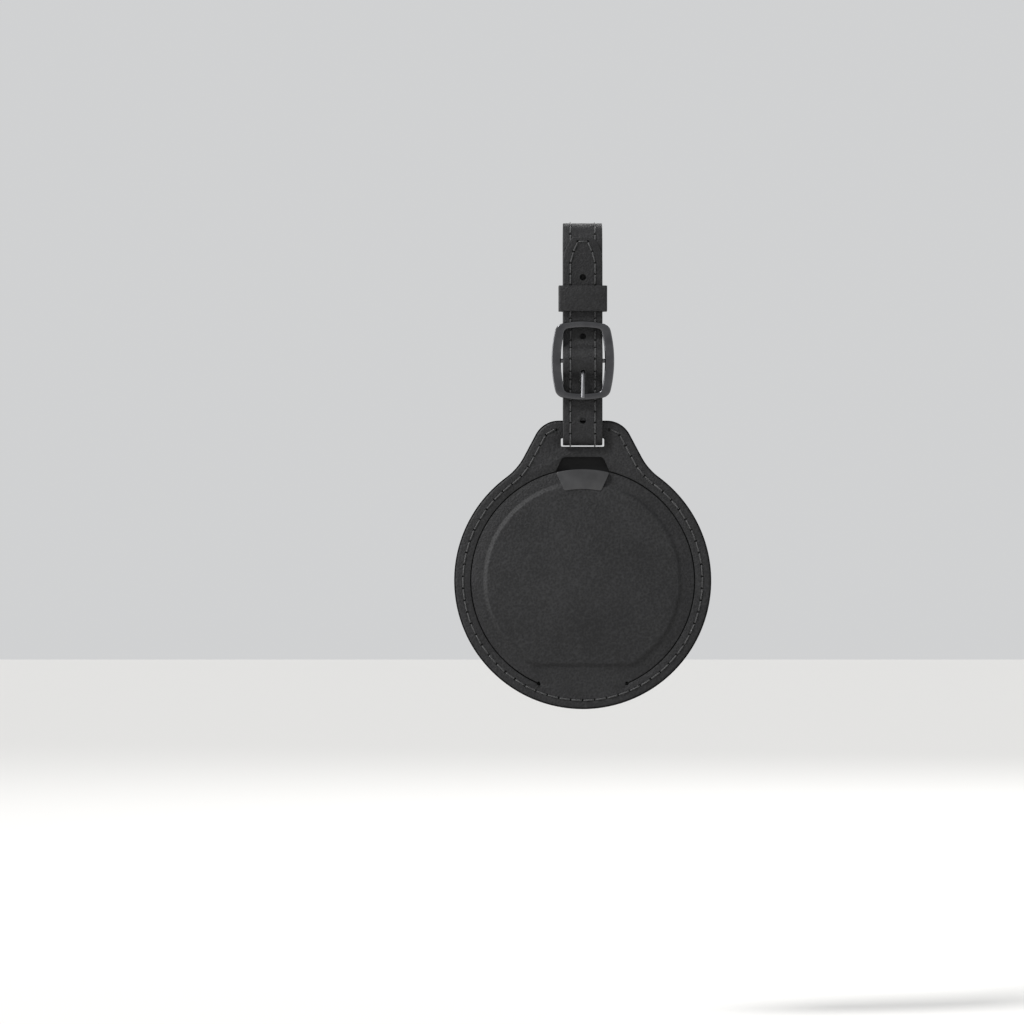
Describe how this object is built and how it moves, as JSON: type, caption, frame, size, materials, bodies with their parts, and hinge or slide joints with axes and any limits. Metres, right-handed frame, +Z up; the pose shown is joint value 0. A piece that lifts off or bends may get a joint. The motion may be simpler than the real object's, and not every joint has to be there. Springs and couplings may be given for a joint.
{
  "type": "bluetooth tracker tag",
  "caption": "Pear-shaped leather luggage tag with a sealed tracker module behind a round fold-down flap, hung on a buckled leather strap loop with a sliding keeper.",
  "frame": {"origin": "axis of the strap's bend over a handle, at the top of the loop", "axes": "+Z up, the tag's face and the buckle look along -Y, +X along the handle"},
  "size_m": [0.072, 0.0217, 0.1364],
  "materials": {
    "tag_leather": "fine pebbled grain, semi matt, charcoal",
    "strap_leather": "fine pebbled grain, semi matt, charcoal",
    "flap_leather": "fine pebbled grain, semi matt, charcoal",
    "flap_lining": "smooth split, matt, charcoal",
    "core_board": "painted edge, satin black",
    "tag_thread": "bonded nylon thread, dark grey",
    "strap_thread": "bonded nylon thread, dark grey",
    "stiffener_board": "pressed fibre board",
    "tab_metal": "fine matt gunmetal paint",
    "backplate_steel": "zinc plated",
    "clear_window": "clear flexible film, glossy",
    "card_stock": "uncoated card",
    "module_shell": "fine spark texture, black",
    "seal_silicone": "matt silicone",
    "screw_steel": "machined",
    "foam_tape": "foam tape",
    "board_laminate": "solder resist",
    "chip_package": "moulded epoxy",
    "component_body": "fired ceramic",
    "antenna_copper": "bare copper",
    "cell_foil": "laminated foil",
    "coil_copper": "enamelled copper",
    "ferrite": "sintered sheet",
    "magnet_nickel": "nickel plated",
    "sounder_brass": "rolled",
    "sounder_ceramic": "fired, silvered",
    "switch_steel": "stamped",
    "button_rubber": "matt silicone",
    "light_pipe": "polished diffuser",
    "buckle_metal": "matt gunmetal",
    "staple_steel": "bent wire"
  },
  "bodies": {
    "strap": {"strap_outer": "strap_leather", "strap_lining": "strap_leather", "strap_thread": "strap_thread"},
    "buckle": {"buckle_frame": "buckle_metal", "buckle_bar": "buckle_metal"},
    "prong": {"buckle_prong": "buckle_metal"},
    "keeper": {"keeper_loop": "strap_leather", "keeper_staple": "staple_steel"},
    "tag": {"front_panel": "tag_leather", "rear_panel": "tag_leather", "core_frame": "core_board", "perimeter_thread": "tag_thread", "id_window": "clear_window", "id_card": "card_stock", "module_front_shell": "module_shell", "module_rear_shell": "module_shell", "module_gasket": "seal_silicone", "module_screws": "screw_steel", "module_adhesive": "foam_tape", "circuit_board": "board_laminate", "radio_chip": "chip_package", "board_components": "component_body", "antenna": "antenna_copper", "battery": "cell_foil", "charging_coil": "coil_copper", "ferrite_sheet": "ferrite", "alignment_magnets": "magnet_nickel", "closure_magnets": "magnet_nickel", "sounder_plate": "sounder_brass", "sounder_ceramic": "sounder_ceramic", "dome_switch": "switch_steel", "light_pipe": "light_pipe"},
    "flap": {"flap_leather": "flap_leather", "flap_board": "stiffener_board", "flap_liner": "flap_lining", "pull_tab": "tab_metal", "tab_backplate": "backplate_steel"},
    "button": {"pair_button": "button_rubber", "button_seal": "seal_silicone"}
  },
  "joints": [
    {"name": "tag_swing", "type": "hinge", "parent": "strap", "child": "tag", "pos_m": [0, -0.0038, -0.0536], "axis": [1, 0, 0], "range_deg": [-5, 5]},
    {"name": "flap_open", "type": "hinge", "parent": "tag", "child": "flap", "pos_m": [0, -0.0072, -0.12102], "axis": [1, 0, 0], "range_deg": [0, 160]},
    {"name": "pair_press", "type": "slide", "parent": "tag", "child": "button", "axis": [0, 1, 0], "range_m": [0, 0.0004], "stiffness_N_per_m": 2000, "springref_m": -0.0004},
    {"name": "buckle_tilt", "type": "hinge", "parent": "strap", "child": "buckle", "pos_m": [0, -0.0098, -0.0308], "axis": [1, 0, 0], "range_deg": [-1.2, 1.2]},
    {"name": "prong_lift", "type": "hinge", "parent": "buckle", "child": "prong", "pos_m": [0, -0.0098, -0.0308], "axis": [-1, 0, 0], "range_deg": [0, 2.5]},
    {"name": "keeper_slide", "type": "slide", "parent": "strap", "child": "keeper", "axis": [0, 0, 1], "range_m": [-0.0011, 0.008]}
  ]
}
